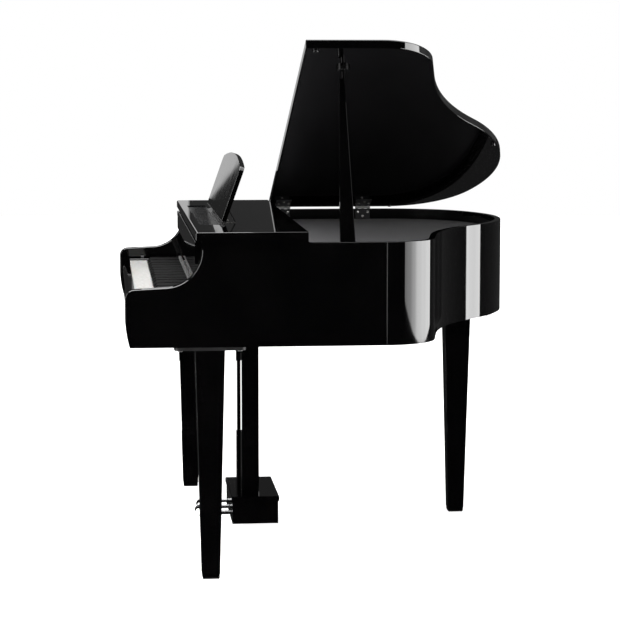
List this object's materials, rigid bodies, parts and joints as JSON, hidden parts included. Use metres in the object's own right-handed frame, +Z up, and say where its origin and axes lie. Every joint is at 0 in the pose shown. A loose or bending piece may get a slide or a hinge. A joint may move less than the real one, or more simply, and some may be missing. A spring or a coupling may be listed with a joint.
{
  "type": "compact grand digital piano",
  "caption": "Black lacquered compact grand-shaped digital piano with an open propped lid, folding music rest and key cover, sprung keys and a three-pedal lyre.",
  "frame": {"origin": "on the floor, under the middle of the whole piano's bounding box with the lid open", "axes": "+X to the player's right (treble side), +Y from the keyboard to the tail, +Z up"},
  "size_m": [1.43, 1.1715, 1.4351],
  "materials": {
    "lacquer": "polished black polyester lacquer on fibreboard",
    "under_board": "fibreboard, satin black paint",
    "inner_cover": "matt dark grey film",
    "panel_glass": "gloss black acrylic",
    "felt": "pressed wool felt, dark red",
    "frame_plastic": "moulded plastic, fine texture",
    "steel": "ground steel",
    "nickel": "nickel plated steel",
    "black_steel": "black powder coat",
    "circuit_board": "green solder mask",
    "speaker": "pressed steel basket and paper cone",
    "rubber": "black rubber",
    "pedal_metal": "polished plated metal",
    "white_key": "satin ivory-white acrylic",
    "black_key": "matt black moulded plastic"
  },
  "bodies": {
    "case": {"bass_end_block": "lacquer", "bass_side": "lacquer", "bent_rim": "lacquer", "bottom_board": "under_board", "control_panel": "panel_glass", "cover_ledge": "under_board", "cross_rail": "lacquer", "felt_rail": "felt", "foot_pads": "felt", "front_leg_bass": "lacquer", "front_leg_treble": "lacquer", "inner_cover": "inner_cover", "key_frame": "frame_plastic", "key_rod": "steel", "key_slip": "lacquer", "leg_bolts": "steel", "leg_plates": "black_steel", "lid_hinge_pins": "steel", "lyre_posts": "lacquer", "main_board": "circuit_board", "pedal_box": "lacquer", "pedal_box_top": "lacquer", "pedal_rod": "steel", "power_supply": "black_steel", "prop_bracket": "black_steel", "rear_leg": "lacquer", "rest_brackets": "nickel", "rim_hinge_leaves": "nickel", "speaker_grilles": "black_steel", "speakers": "speaker", "top_board": "lacquer", "treble_end_block": "lacquer", "treble_side": "lacquer"},
    "lid": {"lid": "lacquer", "lid_hinge_leaves": "nickel", "prop_cup": "rubber", "lid_bumpers": "rubber"},
    "prop": {"lid_prop": "lacquer"},
    "music_rest": {"music_rest": "lacquer", "rest_hinge_leaves": "nickel"},
    "rest_struts": {"rest_struts": "black_steel"},
    "cover_panel": {"cover_panel": "lacquer"},
    "cover_flap": {"cover_flap": "lacquer"},
    "power_button": {"power_button": "frame_plastic"},
    "volume_slider": {"volume_slider": "frame_plastic"},
    "soft_pedal": {"soft_pedal": "pedal_metal"},
    "sostenuto_pedal": {"sostenuto_pedal": "pedal_metal"},
    "damper_pedal": {"damper_pedal": "pedal_metal"},
    "white_c": {"white_keys_c": "white_key"},
    "white_d": {"white_keys_d": "white_key"},
    "white_e": {"white_keys_e": "white_key"},
    "white_f": {"white_keys_f": "white_key"},
    "white_g": {"white_keys_g": "white_key"},
    "white_a": {"white_keys_a": "white_key"},
    "white_b": {"white_keys_b": "white_key"},
    "black_c_sharp": {"black_keys_c_sharp": "black_key"},
    "black_d_sharp": {"black_keys_d_sharp": "black_key"},
    "black_f_sharp": {"black_keys_f_sharp": "black_key"},
    "black_g_sharp": {"black_keys_g_sharp": "black_key"},
    "black_a_sharp": {"black_keys_a_sharp": "black_key"}
  },
  "joints": [
    {"name": "lid_lift", "type": "hinge", "parent": "case", "child": "lid", "pos_m": [-0.678, 0, 0.9085], "axis": [0, -1, 0], "range_deg": [0, 18]},
    {"name": "prop_swing", "type": "hinge", "parent": "case", "child": "prop", "pos_m": [0.668, 0.00621, 0.886], "axis": [0, -1, 0], "range_deg": [0, 67]},
    {"name": "rest_fold", "type": "hinge", "parent": "case", "child": "music_rest", "pos_m": [0, -0.30179, 0.9365], "axis": [-1, 0, 0], "range_deg": [0, 70.5]},
    {"name": "strut_fold", "type": "hinge", "parent": "music_rest", "child": "rest_struts", "pos_m": [0, -0.28942, 0.96395], "axis": [1, 0, 0], "range_deg": [0, 132.5]},
    {"name": "cover_close", "type": "hinge", "parent": "case", "child": "cover_panel", "pos_m": [0, -0.38179, 0.772], "axis": [1, 0, 0], "range_deg": [0, 90]},
    {"name": "flap_fold", "type": "hinge", "parent": "cover_panel", "child": "cover_flap", "pos_m": [0, -0.38879, 0.903], "axis": [-1, 0, 0], "range_deg": [0, 181]},
    {"name": "soft_pedal_press", "type": "hinge", "parent": "case", "child": "soft_pedal", "pos_m": [-0.09, -0.15879, 0.06], "axis": [1, 0, 0], "range_deg": [0, 5], "stiffness_Nm_per_rad": 12, "springref_deg": -14.32},
    {"name": "sostenuto_pedal_press", "type": "hinge", "parent": "case", "child": "sostenuto_pedal", "pos_m": [0, -0.15879, 0.06], "axis": [1, 0, 0], "range_deg": [0, 5], "stiffness_Nm_per_rad": 12, "springref_deg": -14.32},
    {"name": "damper_pedal_press", "type": "hinge", "parent": "case", "child": "damper_pedal", "pos_m": [0.09, -0.15879, 0.06], "axis": [1, 0, 0], "range_deg": [0, 5], "stiffness_Nm_per_rad": 12, "springref_deg": -14.32},
    {"name": "power_press", "type": "slide", "parent": "case", "child": "power_button", "axis": [0, 0, -1], "range_m": [0, 0.0025], "stiffness_N_per_m": 400, "springref_m": -0.003},
    {"name": "volume_slide", "type": "slide", "parent": "case", "child": "volume_slider", "axis": [0, 1, 0], "range_m": [-0.015, 0.015]},
    {"name": "white_c_press", "type": "hinge", "parent": "case", "child": "white_c", "pos_m": [0, -0.32379, 0.715], "axis": [1, 0, 0], "range_deg": [0, 2.4], "stiffness_Nm_per_rad": 10, "springref_deg": -12.61},
    {"name": "white_d_press", "type": "hinge", "parent": "case", "child": "white_d", "pos_m": [0, -0.32379, 0.715], "axis": [1, 0, 0], "range_deg": [0, 2.4], "stiffness_Nm_per_rad": 10, "springref_deg": -12.61},
    {"name": "white_e_press", "type": "hinge", "parent": "case", "child": "white_e", "pos_m": [0, -0.32379, 0.715], "axis": [1, 0, 0], "range_deg": [0, 2.4], "stiffness_Nm_per_rad": 10, "springref_deg": -12.61},
    {"name": "white_f_press", "type": "hinge", "parent": "case", "child": "white_f", "pos_m": [0, -0.32379, 0.715], "axis": [1, 0, 0], "range_deg": [0, 2.4], "stiffness_Nm_per_rad": 10, "springref_deg": -12.61},
    {"name": "white_g_press", "type": "hinge", "parent": "case", "child": "white_g", "pos_m": [0, -0.32379, 0.715], "axis": [1, 0, 0], "range_deg": [0, 2.4], "stiffness_Nm_per_rad": 10, "springref_deg": -12.61},
    {"name": "white_a_press", "type": "hinge", "parent": "case", "child": "white_a", "pos_m": [0, -0.32379, 0.715], "axis": [1, 0, 0], "range_deg": [0, 2.4], "stiffness_Nm_per_rad": 10, "springref_deg": -12.61},
    {"name": "white_b_press", "type": "hinge", "parent": "case", "child": "white_b", "pos_m": [0, -0.32379, 0.715], "axis": [1, 0, 0], "range_deg": [0, 2.4], "stiffness_Nm_per_rad": 10, "springref_deg": -12.61},
    {"name": "black_c_sharp_press", "type": "hinge", "parent": "case", "child": "black_c_sharp", "pos_m": [0, -0.32379, 0.715], "axis": [1, 0, 0], "range_deg": [0, 2.4], "stiffness_Nm_per_rad": 8, "springref_deg": -11.46},
    {"name": "black_d_sharp_press", "type": "hinge", "parent": "case", "child": "black_d_sharp", "pos_m": [0, -0.32379, 0.715], "axis": [1, 0, 0], "range_deg": [0, 2.4], "stiffness_Nm_per_rad": 8, "springref_deg": -11.46},
    {"name": "black_f_sharp_press", "type": "hinge", "parent": "case", "child": "black_f_sharp", "pos_m": [0, -0.32379, 0.715], "axis": [1, 0, 0], "range_deg": [0, 2.4], "stiffness_Nm_per_rad": 8, "springref_deg": -11.46},
    {"name": "black_g_sharp_press", "type": "hinge", "parent": "case", "child": "black_g_sharp", "pos_m": [0, -0.32379, 0.715], "axis": [1, 0, 0], "range_deg": [0, 2.4], "stiffness_Nm_per_rad": 8, "springref_deg": -11.46},
    {"name": "black_a_sharp_press", "type": "hinge", "parent": "case", "child": "black_a_sharp", "pos_m": [0, -0.32379, 0.715], "axis": [1, 0, 0], "range_deg": [0, 2.4], "stiffness_Nm_per_rad": 8, "springref_deg": -11.46}
  ],
  "couplings": [
    {"joint": "strut_fold", "follows": "rest_fold", "ratio": 1.8723},
    {"joint": "flap_fold", "follows": "cover_close", "ratio": 2}
  ]
}
